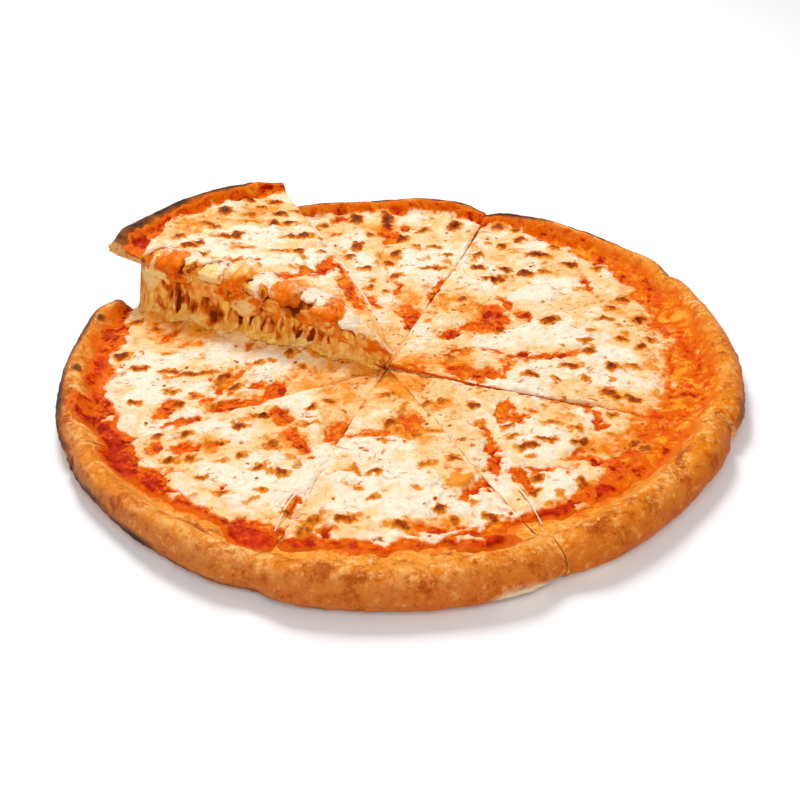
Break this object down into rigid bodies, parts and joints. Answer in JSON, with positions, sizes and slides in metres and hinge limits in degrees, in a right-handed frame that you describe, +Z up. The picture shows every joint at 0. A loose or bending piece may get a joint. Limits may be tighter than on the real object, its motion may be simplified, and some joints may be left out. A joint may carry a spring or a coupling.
{
  "type": "margherita pizza",
  "caption": "Round cheese and tomato pizza with a raised, browned crust, cut into wedges, with a wedge lifted at its crust and melted cheese hanging from its cut sides.",
  "frame": {"origin": "centre of the bounding box's base, on the surface that the pizza lies on", "axes": "+Z up, -Y towards the front slice, +X to the right when seen from the front; the lifted slice is at the back left"},
  "size_m": [0.2992, 0.3048, 0.04],
  "materials": {
    "dough": "baked bread crust, golden orange and satin on top, browner on its outer edge, with grey-brown scorched spots at the back",
    "sauce": "wet tomato sauce, red-orange and pulpy, with small highlights",
    "cheese": "melted cheese, creamy white with warm oily patches and brown blisters, glossy",
    "stretched_cheese": "stretched melted cheese stained with sauce, yellow-ochre with brown shade between its strands, glossy"
  },
  "bodies": {
    "root": {"dough_front": "dough", "sauce_front": "sauce", "cheese_front": "cheese", "dough_front_right": "dough", "sauce_front_right": "sauce", "cheese_front_right": "cheese", "dough_right": "dough", "sauce_right": "sauce", "cheese_right": "cheese", "dough_back_right": "dough", "sauce_back_right": "sauce", "cheese_back_right": "cheese", "dough_back": "dough", "sauce_back": "sauce", "cheese_back": "cheese", "dough_lifted": "dough", "sauce_lifted": "sauce", "cheese_lifted": "cheese", "dough_left": "dough", "sauce_left": "sauce", "cheese_left": "cheese", "dough_front_left": "dough", "sauce_front_left": "sauce", "cheese_front_left": "cheese", "cheese_pull_left": "stretched_cheese", "cheese_pull_back": "stretched_cheese"}
  },
  "joints": []
}
